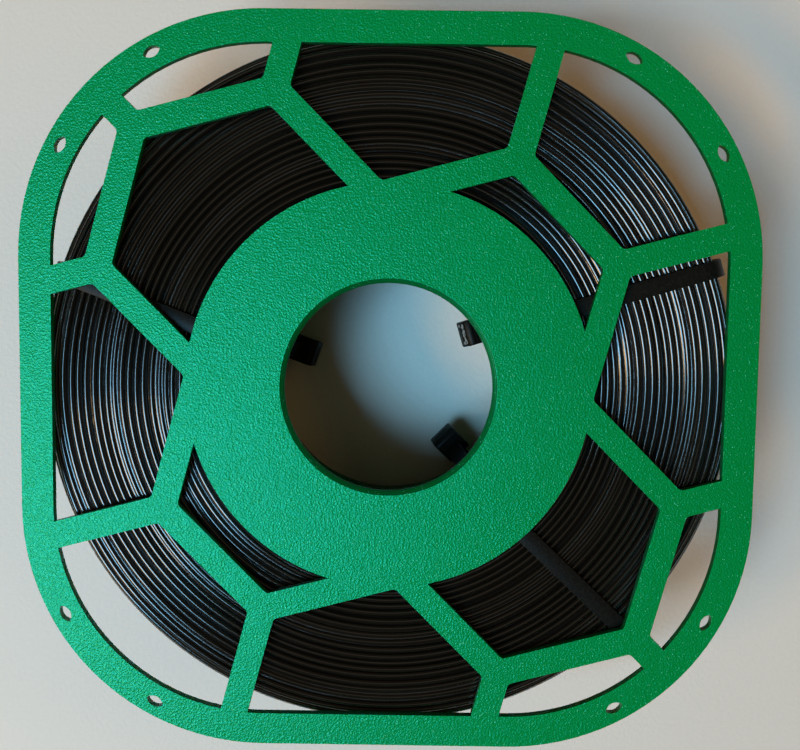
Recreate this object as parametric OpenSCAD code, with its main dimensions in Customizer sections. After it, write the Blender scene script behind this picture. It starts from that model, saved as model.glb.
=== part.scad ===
// Filament spool with a refill coil. A square front flange and a round back flange, both cut
// to a hexagon web, hold the coil. The front flange has a collar with lugs that twists into
// notches of the slotted hub. The coil is still bound by three cable ties, whose heads hang
// in the hub's slots. The spool lies on its back flange, and +Z is its axis.

/* [Flanges] */
// Width of the square front flange across its flats
flange_w = 200; // [198:1:230]
// Corner radius of the front flange
corner_r = 66; // [60:1:80]
// Diameter of the round back flange
back_d = 200; // [198:1:230]
// Width of the rim round both flanges
rim_w = 8.6; // [6:0.2:12]
// Thickness of both flanges
plate_t = 2.4; // [2.4:0.2:4]
// Diameter of the solid disc in the middle of each flange
disc_d = 110.4; // [100:0.2:120]

/* [Hexagon web] */
// Edge of a hexagon cell, between the struts' centre lines
cell_edge = 39; // [34:0.5:44]
// Width of a strut
strut_w = 7.4; // [5:0.2:9]
// Turn of the web about the spool's axis, in degrees
web_turn = 15; // [0:1:30]
// Radius in the corners of the windows
window_r = 1.6; // [0.6:0.2:3]

/* [Filament end holes] */
// Length of an end hole along the rim
end_hole_len = 5; // [4:0.2:7]
// Width of an end hole across the rim
end_hole_w = 2.8; // [2.4:0.2:3.6]
// Distance from the rim's outer edge to the middle of an end hole
end_hole_in = 3.95; // [3.6:0.05:4.2]
// Angle of each end hole from its corner's diagonal, in degrees
end_hole_deg = 16.25; // [8:0.25:24]

/* [Bore] */
// Diameter of the front flange's bore
bore_d = 56.8; // [50:0.2:60]
// Chamfer round the bore's front edge
bore_chamfer = 1.2; // [0.4:0.2:1.4]

/* [Hub] */
// Inside diameter of the hub
hub_in_d = 74; // [70:0.5:76]
// Wall of the hub
hub_wall = 1.8; // [1.6:0.2:2.6]
// Number of open slots in the hub
slot_count = 5; // [4:1:6]
// Width of a slot round the hub, in degrees
slot_deg = 34; // [32:1:38]
// Direction of the first slot's middle, in degrees
slot_turn = 23; // [0:1:71]
// Width of the foot ring that seats in the back flange
foot_w = 5.2; // [4:0.2:8]
// Thickness of the foot ring
foot_t = 1.2; // [0.8:0.2:1.6]
// Length of the foot ring's keys
key_len = 2.6; // [2:0.2:4]
// Width of a key round the foot ring, in degrees
key_deg = 9; // [6:1:12]

/* [Twist lock] */
// Height of the collar under the front flange
collar_h = 8; // [6:0.5:12]
// Wall of the collar
collar_wall = 2; // [1.6:0.2:3]
// Width of a lug round the collar, in degrees
lug_deg = 6; // [4:0.5:6.5]
// Thickness of a lug along the axis
lug_t = 2.4; // [1.6:0.2:3]
// Twist that unlocks the front flange, in degrees
lock_twist = 12.5; // [10:0.5:14]

/* [Filament] */
// Outside diameter of the coil
coil_d = 194; // [188:1:198]
// Radius of the coil's rounded outer edges
shoulder_r = 6; // [4:0.5:8]
// Width of the coil along the axis
coil_w = 45; // [38:1:60]
// Diameter of the filament
filament_d = 1.75; // [1.6:0.05:1.8]
// Distance from one outer turn to the next
turn_pitch = 1.96; // [1.96:0.02:2.4]

/* [Cable ties] */
// Width of a cable tie's strap
tie_w = 4.8; // [3.6:0.2:5]
// Thickness of a strap
tie_t = 1.2; // [1:0.1:1.5]
// Length of a tie's head
head_len = 9; // [8:0.5:10]
// Width of a tie's head
head_w = 8; // [7:0.5:9]
// Height of a tie's head
head_h = 6; // [5:0.5:6.5]

/* [Clearances] */
// Gap between pieces that move past each other
run_gap = 0.3; // [0.2:0.05:0.4]
// Gap between pieces that rest on each other
seat_gap = 0.1; // [0.05:0.05:0.2]

/* [Hidden] */
$fn = 96;
cut = 1;                                   // how far a cutter runs past what it cuts

// Levels along the axis, from the back face up
tie_room = seat_gap + tie_t + run_gap;     // between the coil's face and a flange
coil_z0 = plate_t + tie_room;
coil_z1 = coil_z0 + coil_w;
front_z0 = coil_z1 + tie_room;
spool_h = front_z0 + plate_t;
hub_top = front_z0 - run_gap;
lug_z0 = front_z0 - collar_h;

// Radii
corner_mid = flange_w / 2 - corner_r;      // middle of a corner's arc, along X and along Y
hub_r = hub_in_d / 2;
hub_out_r = hub_r + hub_wall;
foot_r = hub_out_r + foot_w;
collar_r = hub_r - run_gap;
lug_r = hub_out_r - run_gap;
coil_r = coil_d / 2;
coil_in_r = hub_out_r + run_gap;
coil_edge = filament_d / 2;                // chamfer of the edges at the coil's bore
flat_r = coil_r - shoulder_r;              // where the coil's flat faces end

// Angles of the twist lock, from the middle of a slot
slot_step = 360 / slot_count;              // from one slot to the next
side_gap_deg = 0.4;                        // between a lug or key and what stops it
lug_free_deg = side_gap_deg - slot_deg / 2;  // low side of an unlocked lug
lug_lock_deg = lug_free_deg - lock_twist;    // low side of a locked lug

// Outer turns of filament: a six-sided tube in a spiral over the coil's front and its rounded edge
ring_n = 24;                               // rings in one turn
side_n = 6;
turn_w = filament_d * cos(30);             // the tube's width across its flats
turn_z = coil_z1 - filament_d / 2;
turn_arc_r = shoulder_r - filament_d / 2;  // radius of the turns' way round the edge
step_arc_r = turn_arc_r - filament_d / 4;  // there the tubes are closest, and keep their pitch
edge_len = step_arc_r * PI / 2;            // length of that way
most_turns = 24;
turn_count = min(most_turns, floor((edge_len + flat_r - coil_in_r - turn_w) / turn_pitch) - 1);
turn_r0 = flat_r + edge_len - turn_count * turn_pitch;
turn_sag = coil_r * (1 - cos(180 / ring_n));  // how far a ring's straight stretch cuts inwards
turn_step_r = turn_r0 - turn_sag - turn_w / 2 - seat_gap;
turn_step_z = coil_z1 - shoulder_r - turn_w / 2 - seat_gap;

// Cable ties: sideways offset of each strap from the axis, and how far the middle of its head
// lies inside the hub
right_off = 6.4;
left_off = 1.2;
lower_off = -1.3;
right_head_in = 7.4;
left_head_in = 8.6;
lower_head_in = 8.6;
// Number of the slot that a tie hangs in, turn from the slot's middle, offset, place and tilt
tie_right = [0, -6.2, right_off, right_head_in, 25];
tie_left = [2, -5.8, left_off, left_head_in, 14];
tie_lower = [-1, 4.2, lower_off, lower_head_in, 18];
head_z = 11;                               // height of a head's middle
head_nose = 1.4;                           // chamfer of a head's nose
strap_in_head = 1.5;                       // how far a strap's ends run into the head
tail_len = 1;                              // cut end of the strap, past the head
tie_bend_r = 0.8;                          // inside radius of a strap's bends at the coil's bore
strap_lead = 11;                           // from a strap's upper bend down to where it hangs free

function unit2(a) = [cos(a), sin(a)];
function unit(v) = v / norm(v);
function left(v) = [-v[1], v[0]];

// Points of an arc in equal steps
function arc(c, r, a0, a1, n = 7) = [for (i = [0:n]) c + r * unit2(a0 + (a1 - a0) * i / n)];

// Outline of a band of thickness t along an open path, mitred at the bends
function band(path, t) =
    let (n = len(path),
         step = [for (i = [0:n - 2]) left(unit(path[i + 1] - path[i]))],
         side = [for (i = [0:n - 1])
                 let (a = step[max(i - 1, 0)], b = step[min(i, n - 2)], m = unit(a + b))
                 m / (m * a) * t / 2])
    concat([for (i = [0:n - 1]) path[i] + side[i]],
           [for (i = [n - 1:-1:0]) path[i] - side[i]]);

module rounded_square(w, r) {
    flat = w - 2 * r;
    square([w, flat], center = true);
    square([flat, w], center = true);
    for (x = [-1, 1], y = [-1, 1])
        translate([x, y] * flat / 2) circle(r);
}

// Part of a ring from r0 to r1, deg wide, starting at the angle a0
module sector(r0, r1, z0, h, a0, deg)
    translate([0, 0, z0]) rotate([0, 0, a0])
        rotate_extrude(angle = deg) translate([r0, 0]) square([r1 - r0, h]);

module ring(r0, r1, z0, h)
    translate([0, 0, z0]) rotate_extrude() translate([r0, 0]) square([r1 - r0, h]);

// One hexagon window between the struts, with rounded corners
module window() {
    reach = cell_edge - strut_w / 2 / cos(30);
    clip = window_r * tan(30);
    polygon([for (m = [0:5], s = [-1, 1]) reach * unit2(60 * m) + clip * unit2(60 * m + 120 * s)]);
    for (m = [0:5])
        translate((reach - window_r / cos(30)) * unit2(60 * m)) circle(window_r);
}

// Windows of the web, up to half a cell's edge past the inside of the rim, which lies reach
// from the axis: what the next cells would cut there is only slivers. A strut's middle lies
// on the axis, so the web looks the same after half a turn.
module web_windows(reach) {
    e = [for (k = [0:2]) cell_edge * unit2(60 + 120 * k)];
    rows = ceil(reach / cell_edge) + 1;
    rotate(web_turn)
        for (i = [-rows:rows], j = [-rows:rows]) {
            at = -1.5 * e[2] + i * (e[0] - e[2]) + j * (e[1] - e[2]);
            if (norm(at) < reach + cell_edge / 2) translate(at) window();
        }
}

// A flange's plate: children(0) is its outline, children(1) the inside edge of its rim, and
// reach is how far that edge lies from the axis at most
module web_plate(reach)
    linear_extrude(plate_t) difference() {
        children(0);
        difference() {
            intersection() {
                children(1);
                web_windows(reach);
            }
            circle(d = disc_d);
        }
    }

// Two pointed oval holes in each corner of the rim, where a filament end is tucked in
module end_holes() {
    side_r = (pow(end_hole_len, 2) + pow(end_hole_w, 2)) / (4 * end_hole_w);
    for (q = [45:90:315], s = [-1, 1])
        rotate([0, 0, q]) translate([corner_mid * sqrt(2), 0, front_z0 - cut])
            rotate([0, 0, s * end_hole_deg]) translate([corner_r - end_hole_in, 0, 0])
                intersection() {
                    translate([side_r - end_hole_w / 2, 0, 0])
                        cylinder(h = plate_t + 2 * cut, r = side_r);
                    translate([end_hole_w / 2 - side_r, 0, 0])
                        cylinder(h = plate_t + 2 * cut, r = side_r);
                }
}

// Front flange: plate, chamfered bore, collar and lugs
module front_flange() color("seagreen") {
    difference() {
        translate([0, 0, front_z0]) web_plate(corner_mid * sqrt(2) + corner_r - rim_w) {
            rounded_square(flange_w, corner_r);
            rounded_square(flange_w - 2 * rim_w, corner_r - rim_w);
        }
        end_holes();
        translate([0, 0, front_z0 - cut]) cylinder(h = plate_t + 2 * cut, d = bore_d);
        translate([0, 0, spool_h - bore_chamfer])
            rotate_extrude() polygon([[0, 0], [bore_d / 2, 0],
                [bore_d / 2 + bore_chamfer + cut, bore_chamfer + cut], [0, bore_chamfer + cut]]);
    }
    ring(collar_r - collar_wall, collar_r, lug_z0, collar_h);
    for (k = [0:slot_count - 1])
        sector(collar_r - collar_wall / 2, lug_r, lug_z0, lug_t,
               slot_turn + slot_step * k + lug_lock_deg, lug_deg);
}

// Hub: a tube on a keyed foot ring, with open slots for the tie heads and a notch for each lug
module hub_core() color("mediumseagreen") difference() {
    union() {
        rotate_extrude()
            polygon([[hub_r, 0], [foot_r, 0], [foot_r, foot_t], [hub_out_r, foot_t],
                     [hub_out_r, hub_top], [hub_r, hub_top]]);
        for (k = [0:slot_count - 1])
            sector(foot_r - foot_w / 2, foot_r + key_len, 0, foot_t, slot_turn + slot_step * k, key_deg);
    }
    for (k = [0:slot_count - 1]) {
        mid = slot_turn + slot_step * k;
        sector(hub_r - cut, hub_out_r + cut, plate_t, spool_h, mid - slot_deg / 2, slot_deg);
        sector(hub_r - cut, hub_out_r + cut, lug_z0 - run_gap, lug_t + 2 * run_gap,
               mid + lug_lock_deg - side_gap_deg, lock_twist + lug_deg);
    }
}

// Back flange: the same web in a round rim, with a keyed seat for the hub's foot
module back_flange() color("seagreen") difference() {
    web_plate(back_d / 2 - rim_w) {
        circle(d = back_d);
        circle(d = back_d - 2 * rim_w);
    }
    translate([0, 0, -cut]) cylinder(h = plate_t + 2 * cut, r = hub_out_r + seat_gap);
    translate([0, 0, -cut]) cylinder(h = foot_t + cut, r = foot_r + seat_gap);
    for (k = [0:slot_count - 1])
        sector(foot_r - foot_w / 2, foot_r + key_len + seat_gap, -cut, foot_t + cut,
               slot_turn + slot_step * k - side_gap_deg / 2, key_deg + side_gap_deg);
}

// Strands side by side in the coil's profile, from the point a to b, as half hexagons. Each one's
// outermost corner touches the line from a to b, and points to the angle up.
function strand(c, up) = [for (q = [-90, -60, 0, 60, 90]) c + filament_d / 2 * unit2(up + q)];

function strands(a, b, up) =
    let (n = max(floor(norm(b - a) / turn_pitch), 1))
    [for (k = [0:n - 1])
        each strand(a + (b - a) * (k + 0.5) / n - filament_d / 2 * unit2(up), up)];

// Core of the coil: all the layers under the outer turns. The strands at its back, its rim and
// its bore are rings, and the front's outer turns lie in the step round its front edge.
module filament_pack() color("dimgray") {
    edge_strands = 4;
    rotate_extrude() polygon(concat(
        [[coil_in_r, coil_z0 + coil_edge], [coil_in_r + coil_edge, coil_z0]],
        strands([coil_in_r + filament_d, coil_z0], [flat_r, coil_z0], -90),
        [for (k = [0:edge_strands - 1])
            let (up = 90 * (k + 0.5) / edge_strands - 90)
            each strand([flat_r, coil_z0 + shoulder_r] + turn_arc_r * unit2(up), up)],
        strands([coil_r, coil_z0 + shoulder_r], [coil_r, turn_step_z], 0),
        [[coil_r - filament_d / 2, turn_step_z], [coil_r - filament_d - turn_sag, turn_step_z]],
        arc([flat_r - turn_sag, coil_z1 - shoulder_r], shoulder_r - filament_d, 0, 90),
        [[turn_step_r, coil_z1 - filament_d]],
        strands([turn_step_r, coil_z1], [coil_in_r + filament_d, coil_z1], 90),
        [[coil_in_r + coil_edge, coil_z1], [coil_in_r, coil_z1 - coil_edge]],
        strands([coil_in_r, coil_z1 - filament_d], [coil_in_r, coil_z0 + filament_d], 180)));
}

// One ring of the tube: centre c, turned to the angle a, its first corner at the tilt up
function tube_ring(c, a, up) = [for (k = [0:side_n - 1])
    let (q = up - 360 / side_n * k)
    c + filament_d / 2 * [cos(q) * cos(a), cos(q) * sin(a), sin(q)]];

// Way of the turns along the coil's profile, for the ring i, from where the rounded edge starts
function turn_way(i) = turn_r0 - flat_r + turn_pitch / ring_n * i;

// Direction that is outwards there, in degrees: up on the flat front, and less round the edge
function turn_up(i) = 90 - max(turn_way(i), 0) / step_arc_r * 180 / PI;

function turn_point(i) =
    let (a = 360 / ring_n * i, r = flat_r + min(turn_way(i), 0) + turn_arc_r * cos(turn_up(i)))
    [r * cos(a), r * sin(a), turn_z - turn_arc_r * (1 - sin(turn_up(i)))];

function turn_tangent(i) = let (a = 360 / ring_n * i) [-sin(a), cos(a), 0];

// Outer turns: one unbroken tube whose ends run straight for one diameter
module filament_turns() color("black") {
    last = ring_n * turn_count;
    rings = concat(
        [tube_ring(turn_point(0) - filament_d * turn_tangent(0), 0, turn_up(0))],
        [for (i = [0:last]) tube_ring(turn_point(i), 360 / ring_n * i, turn_up(i))],
        [tube_ring(turn_point(last) + filament_d * turn_tangent(last), 360 / ring_n * last,
                   turn_up(last))]);
    m = len(rings);
    gaps = [for (i = [1:m - 2 - ring_n], k = [1, 2])
            let (a = rings[i][k], b = rings[i + ring_n][side_n - k],
                 c = (rings[i][k] + rings[i + 1][k]) / 2,
                 d = (rings[i + ring_n][side_n - k] + rings[min(i + 1 + ring_n, m - 1)][side_n - k]) / 2)
            min(norm(b - a), norm(d - c))];
    echo(least_gap_between_turns_mm = min(gaps));
    polyhedron(
        points = [for (r = rings, p = r) p],
        faces = concat(
            [for (i = [0:m - 2], k = [0:side_n - 1])
                let (a = i * side_n + k, b = i * side_n + (k + 1) % side_n)
                each [[a, a + side_n, b], [b, a + side_n, b + side_n]]],
            [for (k = [1:side_n - 2]) [0, k, k + 1]],
            [for (k = [1:side_n - 2]) [(m - 1) * side_n, (m - 1) * side_n + k + 1, (m - 1) * side_n + k]]),
        convexity = 10);
}

// Middle line of a strap's loop, from its head round the coil and back, in the tie's own plane
function strap_path(tie) =
    let (off = abs(tie[2]), gap = seat_gap + tie_t / 2, r = tie_bend_r + tie_t / 2,
         edge_r = shoulder_r + gap,
         s0 = sqrt(pow(coil_in_r, 2) - pow(off + tie_w / 2, 2)) - gap,
         s1 = sqrt(pow(coil_r, 2) - pow(max(off - tie_w / 2, 0), 2)) + gap,
         z0 = coil_z0 - gap, z1 = coil_z1 + gap,
         head = [hub_r - tie[3], head_z])
    concat([head + (head_h / 2 - strap_in_head) * unit2(90 - tie[4]), [s0, z1 - strap_lead]],
           arc([s0 + r, z1 - r], r, 180, 90), arc([s1 - edge_r, z1 - edge_r], edge_r, 90, 0),
           arc([s1 - edge_r, z0 + edge_r], edge_r, 0, -90),
           [[s0 + r, z0], head + (head_len / 2 - strap_in_head) * unit2(-tie[4])]);

// A cable tie: its strap's loop and its head, tilted so that the nose points to the axis
module cable_tie(tie) color([0.08, 0.08, 0.09])
    rotate([0, 0, slot_turn + slot_step * tie[0] + tie[1]]) translate([0, tie[2], 0]) rotate([90, 0, 0]) {
        linear_extrude(tie_w, center = true) polygon(band(strap_path(tie), tie_t));
        translate([hub_r - tie[3], head_z]) rotate(-tie[4]) {
            linear_extrude(head_w, center = true)
                polygon([[head_len / 2, -head_h / 2], [head_len / 2, head_h / 2 - head_nose],
                         [head_len / 2 - head_nose, head_h / 2], [head_nose - head_len / 2, head_h / 2],
                         [-head_len / 2, head_h / 2 - head_nose], [-head_len / 2, -head_h / 2]]);
            translate([-tie_t / 2, -head_h / 2 - tail_len])
                linear_extrude(tie_w, center = true) square([tie_t, tail_len + strap_in_head]);
        }
    }

module cable_tie_right() cable_tie(tie_right);
module cable_tie_left() cable_tie(tie_left);
module cable_tie_lower() cable_tie(tie_lower);

front_flange();
hub_core();
back_flange();
filament_pack();
filament_turns();
cable_tie_right();
cable_tie_left();
cable_tie_lower();
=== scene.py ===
# %% [markdown]
# # A spool of filament, still bound by its cable ties
#
# A printed spool: a square front flange and a round back flange, both cut to a hexagon web,
# hold a coil of glossy black filament. Three cable ties from the factory still bind the coil.
# The fixed frame gives every piece its place and size. These cells give each piece the shape
# and the finish that the eye sees. Lengths are written in millimetres and turned to metres.

# %% The frame
import math
import random

import bpy
from mathutils import Matrix, Vector


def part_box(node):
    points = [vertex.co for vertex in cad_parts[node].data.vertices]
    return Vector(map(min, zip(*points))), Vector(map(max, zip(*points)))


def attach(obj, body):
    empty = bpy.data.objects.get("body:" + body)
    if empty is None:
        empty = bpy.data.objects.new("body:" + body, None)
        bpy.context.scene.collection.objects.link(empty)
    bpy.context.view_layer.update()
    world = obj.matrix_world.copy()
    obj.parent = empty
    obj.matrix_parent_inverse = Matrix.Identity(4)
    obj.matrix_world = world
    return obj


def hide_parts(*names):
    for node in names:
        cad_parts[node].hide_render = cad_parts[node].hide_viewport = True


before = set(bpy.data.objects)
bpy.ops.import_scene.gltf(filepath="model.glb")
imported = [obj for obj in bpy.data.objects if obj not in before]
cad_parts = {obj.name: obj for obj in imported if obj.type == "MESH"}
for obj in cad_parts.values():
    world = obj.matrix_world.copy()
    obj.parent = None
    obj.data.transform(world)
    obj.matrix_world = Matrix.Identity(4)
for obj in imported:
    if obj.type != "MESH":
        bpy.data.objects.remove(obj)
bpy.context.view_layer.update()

MM = 0.001

# %% [markdown]
# ## Camera
#
# The spool lies on a table and the camera looks almost straight down on it, from about 26 cm
# above the front flange. So near, that flange looks larger than the back one and hides it.
# The camera's tilt is a few degrees, and its place is measured from the spool's axis.

# %% Camera
LENS_MM = 42.75
SENSOR_MM = 36
CAMERA_AT = (3.674, 22.688, 309.66)
CAMERA_TURN_DEG = (-4.259, 0.188, 0.801)

camera_data = bpy.data.cameras.new("camera")
camera_data.lens = LENS_MM
camera_data.sensor_width = SENSOR_MM
camera_data.sensor_fit = "HORIZONTAL"
camera_data.clip_start = 0.01
camera = bpy.data.objects.new("camera", camera_data)
bpy.context.scene.collection.objects.link(camera)
camera.location = Vector(CAMERA_AT) * MM
camera.rotation_euler = [math.radians(a) for a in CAMERA_TURN_DEG]
bpy.context.scene.camera = camera

# %% [markdown]
# ## Small tools
#
# Every operator of Blender acts on what is selected, so one helper selects exactly one piece.
# A finished piece sits at the origin with its place in its mesh, so another helper bakes its
# place. Colours are written as the hex codes of a paint chart and turned to linear light.

# %% Small tools
def only(piece):
    """Selects one piece and makes it the active one."""
    bpy.ops.object.select_all(action="DESELECT")
    piece.select_set(True)
    bpy.context.view_layer.objects.active = piece


def settle(piece):
    """Puts a piece's place, turn and size into its mesh."""
    only(piece)
    bpy.ops.object.transform_apply(location=True, rotation=True, scale=True)


def apply_modifier(piece, kind, **settings):
    """Adds a modifier with its settings and applies it at once."""
    only(piece)
    modifier = piece.modifiers.new(kind.title(), kind)
    for key, value in settings.items():
        setattr(modifier, key, value)
    bpy.ops.object.modifier_apply(modifier=modifier.name)


def smooth(piece, angle_deg=30):
    """Shades a piece smooth, except over edges sharper than the angle."""
    only(piece)
    bpy.ops.object.shade_smooth_by_angle(angle=math.radians(angle_deg))


def dress(piece, name, material, body, slot, *replaced):
    """Names a finished piece, gives it its material and hangs it on its body."""
    piece.name = piece.data.name = name
    piece.data.materials.clear()
    piece.data.materials.append(material)
    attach(piece, body)
    if replaced:
        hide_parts(*replaced)
    print(name, "has", len(piece.data.polygons), "faces")


def linear(hex_code):
    """Linear colour of an sRGB hex code, such as #1A2B3C."""
    parts = [int(hex_code[i:i + 2], 16) / 255 for i in (1, 3, 5)]
    return [p / 12.92 if p <= 0.04045 else ((p + 0.055) / 1.055) ** 2.4 for p in parts] + [1.0]


def add_node(tree, kind, settings=None, **inputs):
    """Adds a node. Each input is a value, or the output socket that it is linked to."""
    node = tree.nodes.new(kind)
    for key, value in (settings or {}).items():
        setattr(node, key, value)
    for key, value in inputs.items():
        socket = node.inputs[int(key[1:])] if key[0] == "i" and key[1:].isdigit() else node.inputs[key]
        if isinstance(value, bpy.types.NodeSocket):
            tree.links.new(value, socket)
        else:
            socket.default_value = value
    return node


def new_material(name):
    """An empty material, with its tree, its shader and its object coordinates."""
    material = bpy.data.materials.new(name)
    material.use_nodes = True
    tree = material.node_tree
    shader = tree.nodes["Principled BSDF"]
    place = add_node(tree, "ShaderNodeTexCoord").outputs["Object"]
    return material, tree, shader, place


def per_mm(size_mm):
    """Scale of a pattern whose cells are size_mm long, on coordinates in metres."""
    return 1 / (size_mm * MM)


# %% [markdown]
# ## Green glitter PLA
#
# The flanges and the hub are printed from green PLA with a fine glitter. A flange is printed
# with its outer face down on a powder-coated steel bed, which leaves a pebbled skin: grains
# of half a millimetre that each throw a small glint. The other faces show how the printer
# works: fine parallel lines on the inner face, and layers, 0.2 mm thick, on every wall.
# One material does all three. It picks the pattern by the way a face looks, so that the
# pebbles stay on the bed side. Layers are drawn at 0.4 mm, as finer ones wouldn't show.

# %% Green glitter PLA
PEBBLE_MM = 0.55
GRAIN_MM = 0.24
GLITTER_MM = 0.46
PRINT_LINE_MM = 0.8
LAYER_MM = 0.4
MELT_DRIFT_MM = 35
PEBBLE_DEPTH = 0.105 * MM
LINE_DEPTH = 0.03 * MM
GRAIN_SHARE = 0.55
# A face is flat where its normal is less than about 25 degrees off the axis
FLAT_NORMAL = 0.9
# Cells whose random value is above this hold a flake, of this radius in cells
FLAKE_PICK = 0.9
FLAKE_R = 0.25
# Heights of the pebbles between which the pits get a painted shade, and how strong it grows
PIT_FROM, PIT_TO = 0.35, 0.95
PIT_SHADE_AMOUNT = 0.25
MELT_DARK, MELT_LIGHT = "#008230", "#008C36"
# Painted shade for the pits between the pebbles
PIT_SHADE_GREEN = "#006428"
# Painted shade for the walls
WALL_SHADE_GREEN = "#005A24"
# Glitter flakes, painted pale as a painted glint
FLAKE_GLINT_GREEN = "#5ED2A4"
SHEEN_TINT = "#48FFDC"


def green_pla(name, bed_side):
    """Printed green PLA. bed_side is +1 if its pebbled face looks up, and -1 if down."""
    material, tree, shader, place = new_material(name)
    normal = add_node(tree, "ShaderNodeNewGeometry").outputs["Normal"]
    look_z = add_node(tree, "ShaderNodeSeparateXYZ", i0=normal).outputs["Z"]
    toward_bed = add_node(tree, "ShaderNodeMath", {"operation": "MULTIPLY"},
                          i0=look_z, i1=bed_side).outputs[0]
    on_bed = add_node(tree, "ShaderNodeMath", {"operation": "GREATER_THAN"},
                      i0=toward_bed, i1=FLAT_NORMAL).outputs[0]
    on_top = add_node(tree, "ShaderNodeMath", {"operation": "LESS_THAN"},
                      i0=toward_bed, i1=-FLAT_NORMAL).outputs[0]

    # Pebbles of the bed: soft cells, broken up by a finer grain
    cells = add_node(tree, "ShaderNodeTexVoronoi", {"feature": "SMOOTH_F1"},
                     Vector=place, Scale=per_mm(PEBBLE_MM), Smoothness=0.6).outputs["Distance"]
    grain = add_node(tree, "ShaderNodeTexNoise", Vector=place, Scale=per_mm(GRAIN_MM),
                     Detail=2.0).outputs["Fac"]
    pebbles = add_node(tree, "ShaderNodeMath", {"operation": "MULTIPLY_ADD"},
                       i0=grain, i1=GRAIN_SHARE, i2=cells).outputs[0]

    # Lines of the print head on the inner face, and layers on the walls
    xyz = add_node(tree, "ShaderNodeSeparateXYZ", i0=place)
    across = add_node(tree, "ShaderNodeMath", {"operation": "ADD"},
                      i0=xyz.outputs["X"], i1=xyz.outputs["Y"]).outputs[0]
    lines = add_node(tree, "ShaderNodeMath", {"operation": "MULTIPLY"},
                     i0=across, i1=2 * math.pi * per_mm(PRINT_LINE_MM) / math.sqrt(2)).outputs[0]
    layers = add_node(tree, "ShaderNodeMath", {"operation": "MULTIPLY"},
                      i0=xyz.outputs["Z"], i1=2 * math.pi * per_mm(LAYER_MM)).outputs[0]
    phase = add_node(tree, "ShaderNodeMix", {"data_type": "FLOAT"},
                     Factor=on_top, i2=layers, i3=lines).outputs["Result"]
    ridges = add_node(tree, "ShaderNodeMath", {"operation": "SINE"}, i0=phase).outputs[0]

    line_bump = add_node(tree, "ShaderNodeBump", Strength=1.0, Distance=LINE_DEPTH,
                         Height=ridges).outputs["Normal"]
    pebble_bump = add_node(tree, "ShaderNodeBump", Strength=1.0, Distance=PEBBLE_DEPTH,
                           Height=pebbles).outputs["Normal"]
    bump = add_node(tree, "ShaderNodeMix", {"data_type": "VECTOR"},
                    Factor=on_bed, i4=line_bump, i5=pebble_bump).outputs[1]
    tree.links.new(bump, shader.inputs["Normal"])

    # Glitter: one cell in many is a flake, painted pale, which is partly a painted glint
    flakes = add_node(tree, "ShaderNodeTexVoronoi", Vector=place, Scale=per_mm(GLITTER_MM))
    pick = add_node(tree, "ShaderNodeSeparateColor", i0=flakes.outputs["Color"]).outputs[0]
    rare = add_node(tree, "ShaderNodeMath", {"operation": "GREATER_THAN"},
                    i0=pick, i1=FLAKE_PICK).outputs[0]
    small = add_node(tree, "ShaderNodeMath", {"operation": "LESS_THAN"},
                     i0=flakes.outputs["Distance"], i1=FLAKE_R).outputs[0]
    flake = add_node(tree, "ShaderNodeMath", {"operation": "MULTIPLY"}, i0=rare, i1=small).outputs[0]

    # Colour: a slow drift of the melt, a painted shade in the pits, and pale glitter flakes that are
    # partly a painted glint
    drift = add_node(tree, "ShaderNodeTexNoise", Vector=place, Scale=per_mm(MELT_DRIFT_MM),
                     Detail=2.0).outputs["Fac"]
    melt = add_node(tree, "ShaderNodeMix", {"data_type": "RGBA"}, Factor=drift,
                    i6=linear(MELT_DARK), i7=linear(MELT_LIGHT)).outputs[2]
    pit_shade = add_node(tree, "ShaderNodeMapRange", i0=pebbles, i1=PIT_FROM, i2=PIT_TO,
                   i3=0.0, i4=PIT_SHADE_AMOUNT).outputs[0]
    pit_shade_on_bed = add_node(tree, "ShaderNodeMath", {"operation": "MULTIPLY"},
                          i0=pit_shade, i1=on_bed).outputs[0]
    shaded = add_node(tree, "ShaderNodeMix", {"data_type": "RGBA"}, Factor=pit_shade_on_bed,
                      i6=melt, i7=linear(PIT_SHADE_GREEN)).outputs[2]
    # Walls are painted darker: a painted shade for the shade that falls on them and between their layers
    flat = add_node(tree, "ShaderNodeMath", {"operation": "ADD"}, i0=on_bed, i1=on_top).outputs[0]
    wall_shaded = add_node(tree, "ShaderNodeMix", {"data_type": "RGBA"}, Factor=flat,
                      i6=linear(WALL_SHADE_GREEN), i7=shaded).outputs[2]
    colour = add_node(tree, "ShaderNodeMix", {"data_type": "RGBA"}, Factor=flake,
                      i6=wall_shaded, i7=linear(FLAKE_GLINT_GREEN)).outputs[2]
    tree.links.new(colour, shader.inputs["Base Color"])
    shader.inputs["Roughness"].default_value = 0.34
    shader.inputs["IOR"].default_value = 1.62
    shader.inputs["Specular IOR Level"].default_value = 0.7
    shader.inputs["Specular Tint"].default_value = linear(SHEEN_TINT)
    return material


pla_bed_up = green_pla("green_glitter_pla_bed_side_up", 1.0)
pla_bed_down = green_pla("green_glitter_pla_bed_side_down", -1.0)
print("pebbles of", PEBBLE_MM, "mm, glitter flakes of", GLITTER_MM, "mm")

# %% [markdown]
# ## Flanges and hub
#
# The frame already holds these three with their true curves. A real print has no knife-sharp
# edge, and a small rounding is what catches the light round every window. So each gets a
# copy of its frame mesh. Its loose triangles are merged, flat faces are dissolved back to
# whole ones, and a bevel rounds the sharp edges by a quarter of a millimetre.

# %% Flanges and hub
EDGE_ROUND_MM = 0.25
MERGE_MM = 0.002
LEVEL_NORMAL = 0.9999


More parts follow.
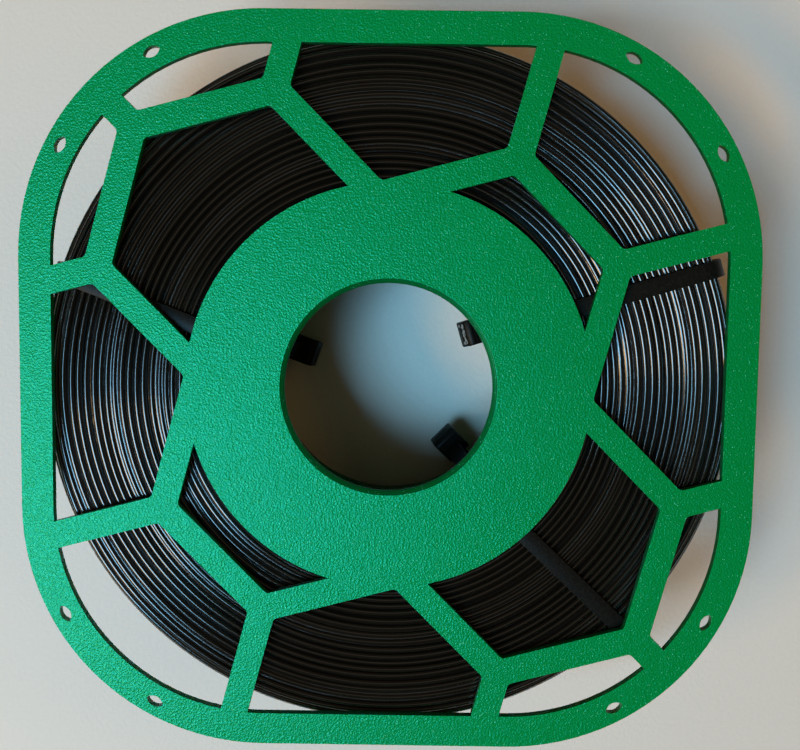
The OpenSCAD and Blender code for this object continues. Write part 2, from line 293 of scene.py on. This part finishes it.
def rounded_copy(node):
    """A merged copy of a frame node with its sharp edges rounded."""
    piece = bpy.data.objects.new(node + "_finished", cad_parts[node].data.copy())
    bpy.context.scene.collection.objects.link(piece)
    only(piece)
    bpy.ops.object.mode_set(mode="EDIT")
    bpy.ops.mesh.select_all(action="SELECT")
    bpy.ops.mesh.remove_doubles(threshold=MERGE_MM * MM)
    bpy.ops.mesh.dissolve_limited(angle_limit=math.radians(0.5))
    bpy.ops.object.mode_set(mode="OBJECT")
    apply_modifier(piece, "BEVEL", width=EDGE_ROUND_MM * MM, segments=2,
                   limit_method="ANGLE", angle_limit=math.radians(40), miter_outer="MITER_ARC")
    smooth(piece)
    # The level faces stay truly flat, with no shading drawn in from their rounded edges
    bpy.ops.object.mode_set(mode="EDIT")
    bpy.ops.mesh.select_mode(type="FACE")
    bpy.ops.mesh.select_all(action="DESELECT")
    bpy.ops.object.mode_set(mode="OBJECT")
    for face in piece.data.polygons:
        face.select = abs(face.normal.z) > LEVEL_NORMAL
    bpy.ops.object.mode_set(mode="EDIT")
    bpy.ops.mesh.faces_shade_flat()
    bpy.ops.object.mode_set(mode="OBJECT")
    return piece


PRINTS = {
    "front_flange": ("front_flange_print", pla_bed_up, "front"),
    "back_flange": ("back_flange_print", pla_bed_down, "spool"),
    "hub_core": ("hub_print", pla_bed_down, "spool"),
}
for node, (name, material, body) in PRINTS.items():
    dress(rounded_copy(node), name, material, body, "printed_green", node)

# %% [markdown]
# ## Black filament
#
# Filament is PLA drawn to a thin round strand, so its skin is smooth and glossy: a strand
# shows one thin line of light along its crest, and is near black beside it. Handling leaves
# faint scuffs, which is why the gloss changes slowly along the coil.

# %% Black filament
HANDLING_MM = 9
TONE_MM = 24
RIPPLE_MM = 1.6
RIPPLE_DEPTH = 0.0015 * MM
GLOSS_DRIFT = 0.04
WARM_BLACK = "#110F0B"


def black_pla(name, hex_code, gloss):
    """Drawn black PLA with a gloss that drifts along the coil."""
    material, tree, shader, place = new_material(name)
    scuff = add_node(tree, "ShaderNodeTexNoise", Vector=place, Scale=per_mm(HANDLING_MM),
                     Detail=4.0).outputs["Fac"]
    rough = add_node(tree, "ShaderNodeMapRange", i0=scuff, i1=0.35, i2=0.7,
                     i3=gloss, i4=gloss + GLOSS_DRIFT).outputs[0]
    tree.links.new(rough, shader.inputs["Roughness"])
    tone = add_node(tree, "ShaderNodeTexNoise", Vector=place, Scale=per_mm(TONE_MM)).outputs["Fac"]
    colour = add_node(tree, "ShaderNodeMix", {"data_type": "RGBA"}, Factor=tone,
                      i6=linear(hex_code), i7=linear(WARM_BLACK)).outputs[2]
    tree.links.new(colour, shader.inputs["Base Color"])
    ripple = add_node(tree, "ShaderNodeTexNoise", Vector=place, Scale=per_mm(RIPPLE_MM)).outputs["Fac"]
    bump = add_node(tree, "ShaderNodeBump", Strength=1.0, Distance=RIPPLE_DEPTH, Height=ripple)
    tree.links.new(bump.outputs["Normal"], shader.inputs["Normal"])
    shader.inputs["IOR"].default_value = 1.47
    shader.inputs["Specular IOR Level"].default_value = 0.75
    return material


filament_gloss = black_pla("black_pla_filament", "#0B0A07", 0.07)
# The inner layers are the same filament, given a darker black as painted shade for the gaps between the
# turns, and a duller gloss
filament_inside_shaded = black_pla("black_pla_inner_layers_painted_shade", "#060504", 0.14)
print("two blacks: glossy turns outside, duller layers inside")

# %% [markdown]
# ## The wound strand
#
# The filament is one long strand, wound layer on layer. What the eye sees is the outside of
# that winding: the turns at the coil's front, its rim, its back and its bore. They are made
# as four strands, one for each, each a curve with a round bevel turned into a mesh.
# Each turn wanders a little and lies at its own depth, and is laid against the turn before
# it, so that none cuts into the next.

# %% Sizes of the coil
coil_low, coil_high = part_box("filament_pack")
coil_radii = [math.hypot(v.co.x, v.co.y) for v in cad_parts["filament_pack"].data.vertices]
COIL_R = max(coil_radii) / MM
COIL_IN_R = min(coil_radii) / MM
COIL_Z0 = coil_low.z / MM
COIL_Z1 = coil_high.z / MM
SHOULDER_R = 6.0
FLAT_R = COIL_R - SHOULDER_R
FILAMENT_MM = 1.75
FACE_PITCH = 2.02
RIM_PITCH = 1.8
# How far a turn wanders sideways on the faces, and on the rim and in the bore
FACE_WANDER = 0.3
RIM_WANDER = 0.05
LEAST_STEP = FILAMENT_MM + 0.02
STRAND_R = FILAMENT_MM / 2
EDGE_R = SHOULDER_R - STRAND_R
EDGE_LEN = EDGE_R * math.pi / 2
print("coil", round(2 * COIL_R), "mm across, bore", round(2 * COIL_IN_R, 1), "mm")

# %% Laying the turns
def drifting(rng, turns, steps, size, waves=3):
    """A smooth value for each step of a winding: each turn has its own waves round the coil."""
    rows = [[(rng.uniform(-1, 1) * size / (w + 1), rng.uniform(0, 2 * math.pi)) for w in range(waves)]
            for _ in range(turns + 2)]
    values = []
    for i in range(turns * steps + 1):
        k, part = divmod(i, steps)
        angle = 2 * math.pi * part / steps
        blend = part / steps
        ends = [sum(a * math.cos((w + 1) * angle + p) if w else a for w, (a, p) in enumerate(row))
                for row in rows[k:k + 2]]
        values.append(ends[0] * (1 - blend) + ends[1] * blend)
    return values


def lay_turns(seed, turns, steps, pitch, wander, depth):
    """Steps of a winding as (angle, advance, depth), each turn laid against the one before."""
    rng = random.Random(seed)
    sideways = drifting(rng, turns, steps, wander)
    sunk = [abs(v) for v in drifting(rng, turns, steps, depth)]
    laid = []
    for i in range(turns * steps + 1):
        at = pitch * i / steps + sideways[i]
        if i >= steps:
            below = sunk[i] - sunk[i - steps]
            at = max(at, laid[i - steps][1] + math.sqrt(max(LEAST_STEP ** 2 - below ** 2, 0)))
        laid.append((2 * math.pi * i / steps, at, sunk[i]))
    return laid


def over_face(at, depth):
    """Radius, and depth below the face, of a strand that is at along the way from the rim in."""
    if at < EDGE_LEN:
        up = at / EDGE_R
        return FLAT_R + (EDGE_R - depth) * math.cos(up), SHOULDER_R - (EDGE_R - depth) * math.sin(up)
    return FLAT_R - (at - EDGE_LEN), STRAND_R + depth


def face_path(seed, turns, steps, depth, side):
    """The turns of one face, from its bore out and round the edge. side is +1 front, -1 back."""
    path = []
    for angle, at, sunk in lay_turns(seed, turns, steps, FACE_PITCH, FACE_WANDER, depth):
        r, below = over_face(at, sunk)
        path.append((r, -angle * side, COIL_Z1 - below if side > 0 else COIL_Z0 + below))
    return path[::-1]


def strand(name, path, sides):
    """A round strand along (radius, angle, height) steps, as a closed mesh."""
    curve = bpy.data.curves.new(name, "CURVE")
    curve.dimensions = "3D"
    curve.bevel_depth = STRAND_R * MM
    curve.bevel_resolution = (sides - 4) // 2
    curve.use_fill_caps = True
    line = curve.splines.new("POLY")
    line.points.add(len(path) - 1)
    for point, (r, a, z) in zip(line.points, path):
        point.co = (r * math.cos(a) * MM, r * math.sin(a) * MM, z * MM, 1)
    piece = bpy.data.objects.new(name, curve)
    bpy.context.scene.collection.objects.link(piece)
    only(piece)
    bpy.ops.object.convert(target="MESH")
    piece = bpy.context.view_layer.objects.active
    smooth(piece, 60)
    return piece


# %% The front of the coil
FACE_TURNS = int((EDGE_LEN + FLAT_R - COIL_IN_R - FILAMENT_MM) / FACE_PITCH)
front_path = face_path(seed=11, turns=FACE_TURNS, steps=150, depth=0.7, side=1)
dress(strand("coil_front", front_path, sides=14), "coil_front_turns", filament_gloss, "spool", "filament",
      "filament_turns")

# %% The rim, the back and the bore of the coil
rim_top = COIL_Z1 - SHOULDER_R - LEAST_STEP
RIM_TURNS = int((rim_top - COIL_Z0 - SHOULDER_R - LEAST_STEP) / RIM_PITCH)
rim_path = [(COIL_R - STRAND_R - d, a, rim_top - at)
            for a, at, d in lay_turns(seed=12, turns=RIM_TURNS, steps=120, pitch=RIM_PITCH,
                                      wander=RIM_WANDER, depth=0.3)]
dress(strand("coil_rim", rim_path, sides=10), "coil_rim_turns", filament_gloss, "spool", "filament")

back_path = face_path(seed=13, turns=FACE_TURNS, steps=100, depth=0.5, side=-1)
dress(strand("coil_back", back_path, sides=8), "coil_back_turns", filament_gloss, "spool", "filament")

BORE_TURNS = int((COIL_Z1 - COIL_Z0 - FILAMENT_MM) / RIM_PITCH)
bore_path = [(COIL_IN_R + STRAND_R + d, a, COIL_Z0 + STRAND_R + at)
             for a, at, d in lay_turns(seed=14, turns=BORE_TURNS, steps=72, pitch=RIM_PITCH,
                                       wander=RIM_WANDER, depth=0.2)]
dress(strand("coil_bore", bore_path, sides=8), "coil_bore_turns", filament_gloss, "spool", "filament")

# %% [markdown]
# ## The layers inside
#
# Between the outer turns one sees the next layer. It needs no strand of its own: a profile
# with one rounded rib for each turn, spun once round the axis, fills the coil up to just
# under the outer turns.

# %% The layers inside
INNER_GAP = 1.3
INNER_CORNER = 0.6 * SHOULDER_R
RIB_OUT = 0.45
RIB_POINTS = 4
SPIN_STEPS = 96


def scalloped(path, rib_mm):
    """Points of a profile with rounded ribs on it. path is straight, from point to point."""
    points = []
    for (ra, za), (rb, zb) in zip(path, path[1:]):
        length = math.hypot(rb - ra, zb - za)
        count = max(1, round(length / rib_mm))
        out_r, out_z = (za - zb) / length * RIB_OUT, (rb - ra) / length * RIB_OUT
        for k in range(count * RIB_POINTS):
            t = k / count / RIB_POINTS
            lift = math.sin(math.pi * (k % RIB_POINTS) / RIB_POINTS)
            points.append((ra + (rb - ra) * t + out_r * lift, za + (zb - za) * t + out_z * lift))
    return points


r0, r1 = COIL_IN_R + INNER_GAP, COIL_R - INNER_GAP
z0, z1 = COIL_Z0 + INNER_GAP, COIL_Z1 - INNER_GAP
profile = scalloped([(r0, z0), (r0, z1), (r1 - INNER_CORNER, z1), (r1, z1 - INNER_CORNER),
                     (r1, z0 + INNER_CORNER), (r1 - INNER_CORNER, z0), (r0, z0)], RIM_PITCH)

bpy.ops.object.select_all(action="DESELECT")
bpy.ops.mesh.primitive_circle_add(vertices=len(profile), radius=1 * MM)
inner = bpy.context.view_layer.objects.active
for vertex, (r, z) in zip(inner.data.vertices, profile):
    vertex.co = (r * MM, 0, z * MM)
only(inner)
bpy.ops.object.mode_set(mode="EDIT")
bpy.ops.mesh.select_all(action="SELECT")
bpy.ops.mesh.spin(steps=SPIN_STEPS, angle=2 * math.pi, center=(0, 0, 0), axis=(0, 0, 1))
bpy.ops.mesh.select_all(action="SELECT")
bpy.ops.mesh.remove_doubles(threshold=0.01 * MM)
bpy.ops.mesh.normals_make_consistent(inside=False)
bpy.ops.object.mode_set(mode="OBJECT")
smooth(inner, 60)
dress(inner, "coil_inner_layers", filament_inside_shaded, "spool", "filament", "filament_pack")

# %% [markdown]
# ## Black nylon
#
# Cable ties are moulded from nylon. The flat of the strap is satin and its skin is faintly
# mottled, and where it was cut or bent the nylon turns grey.

# %% Black nylon
def black_nylon(name, hex_code, hex_marks, rough, mottle_mm, depth_mm):
    """Moulded nylon whose mottled skin carries marks of a second tone."""
    material, tree, shader, place = new_material(name)
    mottle = add_node(tree, "ShaderNodeTexNoise", Vector=place, Scale=per_mm(mottle_mm),
                      Detail=3.0).outputs["Fac"]
    marks = add_node(tree, "ShaderNodeMapRange", i0=mottle, i1=0.46, i2=0.60).outputs[0]
    colour = add_node(tree, "ShaderNodeMix", {"data_type": "RGBA"}, Factor=marks,
                      i6=linear(hex_code), i7=linear(hex_marks)).outputs[2]
    tree.links.new(colour, shader.inputs["Base Color"])
    bump = add_node(tree, "ShaderNodeBump", Strength=1.0, Distance=depth_mm * MM, Height=mottle)
    tree.links.new(bump.outputs["Normal"], shader.inputs["Normal"])
    shader.inputs["Roughness"].default_value = rough
    shader.inputs["IOR"].default_value = 1.53
    shader.inputs["Specular IOR Level"].default_value = 0.08
    return material


nylon = black_nylon("black_nylon_moulded", "#12120F", "#1A1915",
                    rough=0.38, mottle_mm=0.7, depth_mm=0.015)
nylon_scuffed = black_nylon("black_nylon_scuffed_grey", "#1C1D1C", "#8F9492",
                            rough=0.5, mottle_mm=1.1, depth_mm=0.1)
print("nylon in two finishes: moulded, and scuffed grey where pliers gripped it")

# %% [markdown]
# ## Cable ties
#
# A cable tie is a flat strap with a boxy head. The strap runs round the coil and back into
# the head, where a pawl holds it, and its end is cut off short. Each strap starts as a small
# plane that is extruded step by step along its loop, gets its thickness from Solidify and
# its soft edges from Bevel. The loop is drawn in the tie's own upright plane and then turned
# to its place. The strap over the coil's front lies a little askew to its head.

# %% Sizes of a cable tie
STRAP_W = 4.8
STRAP_T = 1.2
BEND_R = 0.8
REST_GAP = 0.1
STRAP_ROUND = 0.22
HEAD = (9.0, 8.0, 6.0)
HEAD_Z = 11.0
STRAP_IN_HEAD = 1.5
STRAP_LEAD = 11.0
# The hub's wall, the gap between it and the coil, and so the hub's inner radius
HUB_WALL = 1.8
HUB_GAP = 0.3
HUB_IN_R = COIL_IN_R - HUB_WALL - HUB_GAP
# A strap starts to lie askew this far from the axis, and lies on its own line this much on
ASKEW_FROM = 30
ASKEW_OVER = 12
# Direction and offset of the head's plane, how far the head's middle lies inside the hub,
# its tilt, and direction and offset of the strap where it crosses the coil's front
TIES = {
    "right": (16.8, 6.4, 7.4, 25.0, 16.52, 6.77),
    "left": (161.2, 1.2, 8.6, 14.0, 158.99, 4.31),
    "lower": (-44.8, -1.3, 8.6, 18.0, -43.03, -3.73),
}


def arc(middle, radius, start_deg, end_deg, steps=6):
    """Points of an arc round its middle, both ends included."""
    angles = [math.radians(start_deg + (end_deg - start_deg) * i / steps) for i in range(steps + 1)]
    return [(middle[0] + radius * math.cos(a), middle[1] + radius * math.sin(a)) for a in angles]


def strap_loop(offset, head_in, tilt_deg):
    """Middle line of a strap in the tie's upright plane, from its head round the coil and back."""
    gap = REST_GAP + STRAP_T / 2
    r = BEND_R + STRAP_T / 2
    # The middle line passes s0 from the axis in the coil's bore, and s1 outside its rim
    s0 = math.sqrt(COIL_IN_R ** 2 - (abs(offset) + STRAP_W / 2) ** 2) - gap
    s1 = math.sqrt(COIL_R ** 2 - max(abs(offset) - STRAP_W / 2, 0) ** 2) + gap
    edge = SHOULDER_R + gap
    low, high = COIL_Z0 - gap, COIL_Z1 + gap
    tilt = math.radians(tilt_deg)
    head_s = HUB_IN_R - head_in
    up = HEAD[2] / 2 - STRAP_IN_HEAD
    out = HEAD[0] / 2 - STRAP_IN_HEAD
    top_in = (head_s + up * math.sin(tilt), HEAD_Z + up * math.cos(tilt))
    end_in = (head_s + out * math.cos(tilt), HEAD_Z - out * math.sin(tilt))
    return ([top_in, (s0, high - STRAP_LEAD)] + arc((s0 + r, high - r), r, 180, 90)
            + arc((s1 - edge, high - edge), edge, 90, 0, 9) + arc((s1 - edge, low + edge), edge, 0, -90, 9)
            + [(s0 + r, low), end_in])


# %% Straps
def strap(name, loop, direction, offset, line_direction, line_offset):
    """A strap extruded along its loop, then turned to its place."""
    bpy.ops.object.select_all(action="DESELECT")
    bpy.ops.mesh.primitive_plane_add(size=STRAP_W * MM)
    piece = bpy.context.view_layer.objects.active
    start, after = loop[0], loop[1]
    for vertex in piece.data.vertices:
        s, z = start if vertex.co.x < 0 else after
        vertex.co = (s * MM, vertex.co.y, z * MM)
    bpy.ops.object.mode_set(mode="EDIT")
    bpy.ops.mesh.select_mode(type="VERT")
    bpy.ops.mesh.select_all(action="DESELECT")
    bpy.ops.object.mode_set(mode="OBJECT")
    for vertex in piece.data.vertices:
        vertex.select = abs(vertex.co.z - after[1] * MM) < 1e-7
    bpy.ops.object.mode_set(mode="EDIT")
    for here, there in zip(loop[1:-1], loop[2:]):
        step = ((there[0] - here[0]) * MM, 0, (there[1] - here[1]) * MM)
        bpy.ops.mesh.extrude_region_move(TRANSFORM_OT_translate={"value": step})
    bpy.ops.object.mode_set(mode="OBJECT")
    apply_modifier(piece, "SOLIDIFY", thickness=STRAP_T * MM, offset=0, use_even_offset=True)
    apply_modifier(piece, "BEVEL", width=STRAP_ROUND * MM, segments=2, limit_method="ANGLE",
                   angle_limit=math.radians(50))
    # Askew: a point at s lies where the strap's own line passes, seen from above
    turn = math.radians(line_direction - direction)
    for vertex in piece.data.vertices:
        s = vertex.co.x / MM
        reach = min(max((s - ASKEW_FROM) / ASKEW_OVER, 0), 1)
        askew = (line_offset / math.cos(turn) + s * math.tan(turn)) - offset
        vertex.co.y += (offset + askew * reach) * MM
    piece.rotation_euler.z = math.radians(direction)
    settle(piece)
    only(piece)
    bpy.ops.object.mode_set(mode="EDIT")
    bpy.ops.mesh.select_all(action="SELECT")
    bpy.ops.mesh.normals_make_consistent(inside=False)
    bpy.ops.object.mode_set(mode="OBJECT")
    smooth(piece, 40)
    return piece


# %% Heads
NOSE_CHAMFER = 1.3
HEAD_ROUND = 0.6
RIB = (0.5, 6.0, 0.3)
RIB_COUNT = 3
RIB_START = 1.75
RIB_STEP = 0.95
# The strap shows at the head's nose, a hair out, and as a millimetre of stub under the head
TAIL = (1.2, STRAP_W, STRAP_T)
TAIL_AT = (-HEAD[0] / 2 + 0.4, 0, -0.7)
STUB = (STRAP_T, STRAP_W, 1.6)
STUB_AT = (0, 0, -HEAD[2] / 2 - 0.2)
PART_ROUND = 0.15
RIB_ROUND = 0.12


def block(size, at, round_mm):
    """A box with rounded edges, in millimetres, for parts of a head."""
    bpy.ops.object.select_all(action="DESELECT")
    bpy.ops.mesh.primitive_cube_add(size=MM, location=Vector(at) * MM)
    piece = bpy.context.view_layer.objects.active
    piece.scale = size
    settle(piece)
    apply_modifier(piece, "BEVEL", width=round_mm * MM, segments=2, limit_method="ANGLE",
                   angle_limit=math.radians(40))
    return piece


def join(main, others):
    """Joins other pieces into the main one."""
    only(main)
    for other in others:
        other.select_set(True)
    bpy.ops.object.join()


def head():
    """A tie's head: a box, chamfered at the nose and at the back, with ribs and the strap's ends."""
    bpy.ops.object.select_all(action="DESELECT")
    bpy.ops.mesh.primitive_cube_add(size=MM)
    piece = bpy.context.view_layer.objects.active
    piece.scale = HEAD
    settle(piece)
    # Chamfer of the nose and of the back, on the upper edges
    only(piece)
    bpy.ops.object.mode_set(mode="EDIT")
    bpy.ops.mesh.select_all(action="DESELECT")
    bpy.ops.mesh.select_mode(type="EDGE")
    bpy.ops.object.mode_set(mode="OBJECT")
    for edge in piece.data.edges:
        ends = [piece.data.vertices[v].co for v in edge.vertices]
        edge.select = all(e.z > 0 for e in ends) and abs(ends[0].x - ends[1].x) < 1e-6
    bpy.ops.object.mode_set(mode="EDIT")
    bpy.ops.mesh.bevel(offset=NOSE_CHAMFER * MM, segments=1)
    bpy.ops.object.mode_set(mode="OBJECT")
    apply_modifier(piece, "BEVEL", width=HEAD_ROUND * MM, segments=3, limit_method="ANGLE",
                   angle_limit=math.radians(35))
    details = [block(RIB, (-HEAD[0] / 2 + RIB_START + RIB_STEP * k, 0, HEAD[2] / 2), RIB_ROUND)
               for k in range(RIB_COUNT)]
    details.append(block(TAIL, TAIL_AT, PART_ROUND))
    details.append(block(STUB, STUB_AT, PART_ROUND))
    join(piece, details)
    return piece


def head_place(direction, offset, head_in, tilt_deg):
    """Where a head lies in the hub: tilted, moved in from the hub's wall and turned round."""
    return (Matrix.Rotation(math.radians(direction), 4, "Z")
            @ Matrix.Translation(Vector((HUB_IN_R - head_in, offset, HEAD_Z)) * MM)
            @ Matrix.Rotation(math.radians(tilt_deg), 4, "Y"))


for tie, (direction, offset, head_in, tilt_deg, line_direction, line_offset) in TIES.items():
    loop = strap_loop(offset, head_in, tilt_deg)
    band = strap("strap", loop, direction, offset, line_direction, line_offset)
    box = head()
    box.matrix_world = head_place(direction, offset, head_in, tilt_deg)
    settle(box)
    join(band, [box])
    smooth(band, 35)
    dress(band, "tie_" + tie, nylon, "spool", "tie_nylon", "cable_tie_" + tie)

# %% Scuff on the right head's nose
SCUFF = (0.16, 6.4, 3.4)
SCUFF_AT = (-HEAD[0] / 2 - 0.02, 0, -0.2)
SCUFF_ROUND = 0.05
scuff = block(SCUFF, SCUFF_AT, SCUFF_ROUND)
scuff.matrix_world = head_place(*TIES["right"][:4])
settle(scuff)
smooth(scuff, 35)
dress(scuff, "tie_right_scuff", nylon_scuffed, "spool", "tie_nylon")

# %% [markdown]
# ## Table and light
#
# A plain pale table carries the spool. The light is that of a room with one window at the
# lower left. Two soft lamps make its panes: cool sky high up, and below it a warmer pane
# lit by sun on a wall. They cast the soft double shadow, and their long reflections draw
# the bright lines along the strands. Two wide dim lamps stand for the warm room across and
# for the wall beside the window, and fill the shadows. The ceiling glows faintly.

# %% Table
TABLE_M = 8
STIPPLE_MM = 1.4
STIPPLE_DEPTH = 0.12 * MM
# The table lies a hair below the spool, as two faces at one height would flicker
TABLE_DROP = 0.05 * MM


def pale_table():
    """Painted board with a fine stipple."""
    material, tree, shader, place = new_material("pale_painted_board")
    stipple = add_node(tree, "ShaderNodeTexNoise", Vector=place, Scale=per_mm(STIPPLE_MM),
                       Detail=3.0).outputs["Fac"]
    shade = add_node(tree, "ShaderNodeMix", {"data_type": "RGBA"}, Factor=stipple,
                     i6=linear("#DCD4CA"), i7=linear("#E2DAD0")).outputs[2]
    tree.links.new(shade, shader.inputs["Base Color"])
    bump = add_node(tree, "ShaderNodeBump", Strength=1.0, Distance=STIPPLE_DEPTH, Height=stipple)
    tree.links.new(bump.outputs["Normal"], shader.inputs["Normal"])
    shader.inputs["Roughness"].default_value = 0.6
    return material


bpy.ops.object.select_all(action="DESELECT")
bpy.ops.mesh.primitive_plane_add(size=TABLE_M, location=(0, 0, -TABLE_DROP))
table = bpy.context.view_layer.objects.active
settle(table)
table.name = "table"
table.data.materials.append(pale_table())

# %% Lamps
# Each lamp: direction and height of its middle in degrees, how far off in metres, width and
# height in metres, and its radiance
LAMPS = {
    "window_sky": ((212, 65.4), 1.4, (0.45, 0.50), (5.9, 14.2, 21.0)),
    "window_sunlit_wall": ((208, 48.0), 1.6, (0.66, 0.28), (20.5, 12.4, 5.0)),
    "warm_room": ((20, 34.0), 1.8, (1.3, 0.9), (2.3, 1.35, 0.55)),
    "wall_by_the_window": ((218, 20.0), 1.6, (1.6, 0.8), (0.5, 0.45, 0.38)),
}


def toward(turn_deg, height_deg=0.0):
    """Unit vector with this turn about Z and this height over the table."""
    turn, height = math.radians(turn_deg), math.radians(height_deg)
    return Vector((math.cos(turn) * math.cos(height), math.sin(turn) * math.cos(height), math.sin(height)))


for name, (place, away, size, radiance) in LAMPS.items():
    lamp_data = bpy.data.lights.new(name, "AREA")
    lamp_data.shape = "RECTANGLE"
    lamp_data.size, lamp_data.size_y = size
    # With this power, the lamp's colour is its radiance
    lamp_data.energy = math.pi * size[0] * size[1]
    lamp_data.color = radiance
    lamp = bpy.data.objects.new(name, lamp_data)
    bpy.context.scene.collection.objects.link(lamp)
    lamp.location = toward(*place) * away
    lamp.rotation_euler = toward(*place).to_track_quat("Z", "Y").to_euler()
    # Only the window's panes show in the gloss. The other two just fill the shadows
    lamp.visible_glossy = name.startswith("window")
    print(name, "shines from", place[0], "degrees round and", place[1], "degrees up")

# %% Room
FAINT_GLOW = (0.03, 0.022, 0.014, 1)
# Each glow: which way it lies, the rise (0 level, 1 straight up) where it ends and where it is
# full, and its colour. They are the daylit wall beside the window, the room across, the ceiling
GLOWS = [
    (toward(218), 0.75, 0.15, (0.2, 0.19, 0.16, 1)),
    (toward(60), 0.85, 0.35, (0.11, 0.072, 0.045, 1)),
    (Vector((0, 0, 1)), 0.90, 0.97, (0.25, 0.20, 0.145, 1)),
]
world = bpy.data.worlds.new("room")
world.use_nodes = True
bpy.context.scene.world = world
sky = world.node_tree
look = add_node(sky, "ShaderNodeTexCoord").outputs["Generated"]
rise = add_node(sky, "ShaderNodeSeparateXYZ", i0=look).outputs["Z"]
glow = FAINT_GLOW
for way, none_at, full_at, colour in GLOWS:
    facing = add_node(sky, "ShaderNodeVectorMath", {"operation": "DOT_PRODUCT"},
                      i0=look, i1=way).outputs["Value"]
    level = add_node(sky, "ShaderNodeMapRange", i0=rise, i1=none_at, i2=full_at).outputs[0]
    share = add_node(sky, "ShaderNodeMath", {"operation": "MULTIPLY", "use_clamp": True},
                     i0=facing, i1=level).outputs[0]
    lit = add_node(sky, "ShaderNodeMix", {"data_type": "RGBA"}, Factor=share,
                   i6=(0, 0, 0, 1), i7=colour).outputs[2]
    glow = add_node(sky, "ShaderNodeMix", {"data_type": "RGBA", "blend_type": "ADD"}, Factor=1.0,
                    i6=glow, i7=lit).outputs[2]
sky.links.new(glow, sky.nodes["Background"].inputs["Color"])
sky.nodes["Background"].inputs["Strength"].default_value = 1.0

bpy.context.scene.view_settings.view_transform = "Standard"
